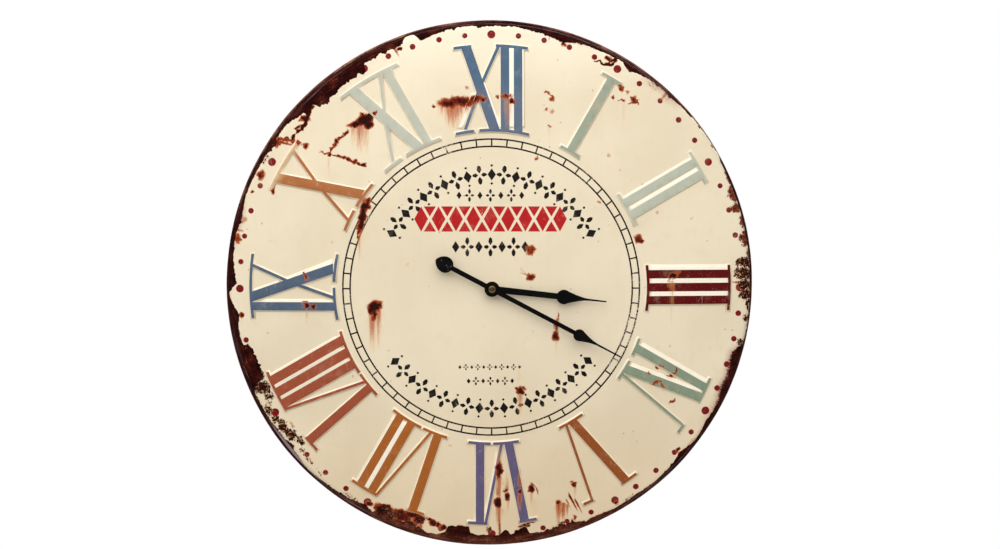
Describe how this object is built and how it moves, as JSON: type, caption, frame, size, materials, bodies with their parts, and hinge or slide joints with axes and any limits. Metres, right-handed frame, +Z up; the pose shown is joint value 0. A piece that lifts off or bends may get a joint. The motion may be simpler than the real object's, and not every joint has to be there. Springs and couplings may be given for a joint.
{
  "type": "wall clock",
  "caption": "Round domed steel wall clock with raised Roman numerals, spade hands, and a quartz movement with its gear train and battery on the back.",
  "frame": {"origin": "centre of the clock's bounding box: on the hand axis, half way between the front of the hand nut and the rear plane of the rolled edge", "axes": "-Y is the way the dial faces, +Z is up towards twelve, +X is to the right of a person looking at the dial"},
  "size_m": [0.4, 0.0338, 0.3998],
  "materials": {
    "cream_enamel": "worn cream paint on pressed steel",
    "hand_black": "satin black paint",
    "brass": "turned brass",
    "zinc_steel": "zinc plated",
    "black_rubber": "moulded",
    "case_black": "fine spark texture",
    "lid_black": "fine spark texture",
    "knob_grey": "moulded",
    "battery_wrap": "printed film wrap, unmarked",
    "nickel_contact": "nickel plated spring steel",
    "board_green": "green solder mask",
    "crystal_can": "drawn can",
    "epoxy_black": "cast epoxy",
    "coil_copper": "enamelled copper wire",
    "core_steel": "stamped",
    "gear_white": "moulded acetal",
    "gear_brass": "stamped",
    "magnet_dark": "bonded magnet and pinion",
    "bridge_plastic": "moulded"
  },
  "bodies": {
    "clock_case": {"dial_pan": "cream_enamel", "dial_washer": "zinc_steel", "bush_nut": "brass", "rubber_washer": "black_rubber", "hanger_strap": "zinc_steel", "threaded_bush": "brass", "case_front": "case_black", "case_lid": "lid_black", "train_bridge": "bridge_plastic", "bridge_screw_1": "zinc_steel", "bridge_screw_2": "zinc_steel", "bridge_screw_3": "zinc_steel", "stator": "core_steel", "coil_core": "core_steel", "coil": "coil_copper", "circuit_board": "board_green", "chip": "epoxy_black", "quartz_crystal": "crystal_can", "contact_positive": "nickel_contact", "contact_negative": "nickel_contact"},
    "minute_group": {"minute_hand": "hand_black", "hand_nut": "brass", "minute_arbor": "brass"},
    "hour_group": {"hour_hand": "hand_black", "hour_wheel": "gear_white"},
    "motion_group": {"motion_wheel": "gear_white"},
    "setting_group": {"setting_arbor": "zinc_steel", "setting_knob": "knob_grey"},
    "seconds_group": {"seconds_wheel": "gear_white"},
    "third_group": {"third_wheel": "gear_white"},
    "centre_group": {"centre_wheel": "gear_brass"},
    "intermediate_group": {"intermediate_wheel": "gear_white"},
    "rotor_group": {"rotor": "magnet_dark"},
    "battery_group": {"battery": "battery_wrap"}
  },
  "joints": [
    {"name": "minute_turn", "type": "hinge", "parent": "clock_case", "child": "minute_group", "pos_m": [0, 0, 0], "axis": [0, 1, 0], "continuous": true},
    {"name": "hour_turn", "type": "hinge", "parent": "clock_case", "child": "hour_group", "pos_m": [0, 0, 0], "axis": [0, 1, 0], "continuous": true},
    {"name": "motion_turn", "type": "hinge", "parent": "clock_case", "child": "motion_group", "pos_m": [-0.00752, 0, -0.00274], "axis": [0, 1, 0], "continuous": true},
    {"name": "setting_turn", "type": "hinge", "parent": "clock_case", "child": "setting_group", "pos_m": [-0.01504, 0, -0.00547], "axis": [0, 1, 0], "continuous": true},
    {"name": "seconds_turn", "type": "hinge", "parent": "clock_case", "child": "seconds_group", "pos_m": [0, 0, 0], "axis": [0, 1, 0], "continuous": true},
    {"name": "third_turn", "type": "hinge", "parent": "clock_case", "child": "third_group", "pos_m": [0.00998, 0, 0.00576], "axis": [0, 1, 0], "continuous": true},
    {"name": "centre_turn", "type": "hinge", "parent": "clock_case", "child": "centre_group", "pos_m": [0, 0, 0], "axis": [0, 1, 0], "continuous": true},
    {"name": "intermediate_turn", "type": "hinge", "parent": "clock_case", "child": "intermediate_group", "pos_m": [-0.00909, 0, 0.00525], "axis": [0, 1, 0], "continuous": true},
    {"name": "rotor_turn", "type": "hinge", "parent": "clock_case", "child": "rotor_group", "pos_m": [-0.01245, 0, 0.01107], "axis": [0, 1, 0], "continuous": true},
    {"name": "battery_slide", "type": "slide", "parent": "clock_case", "child": "battery_group", "axis": [0, 1, 0], "range_m": [0, 0.018]}
  ],
  "couplings": [
    {"joint": "motion_turn", "follows": "minute_turn", "ratio": -0.33333},
    {"joint": "hour_turn", "follows": "minute_turn", "ratio": 0.083333},
    {"joint": "setting_turn", "follows": "minute_turn", "ratio": 1},
    {"joint": "intermediate_turn", "follows": "seconds_turn", "ratio": -6},
    {"joint": "rotor_turn", "follows": "seconds_turn", "ratio": 30},
    {"joint": "third_turn", "follows": "seconds_turn", "ratio": -0.13333},
    {"joint": "centre_turn", "follows": "seconds_turn", "ratio": 0.016667}
  ]
}
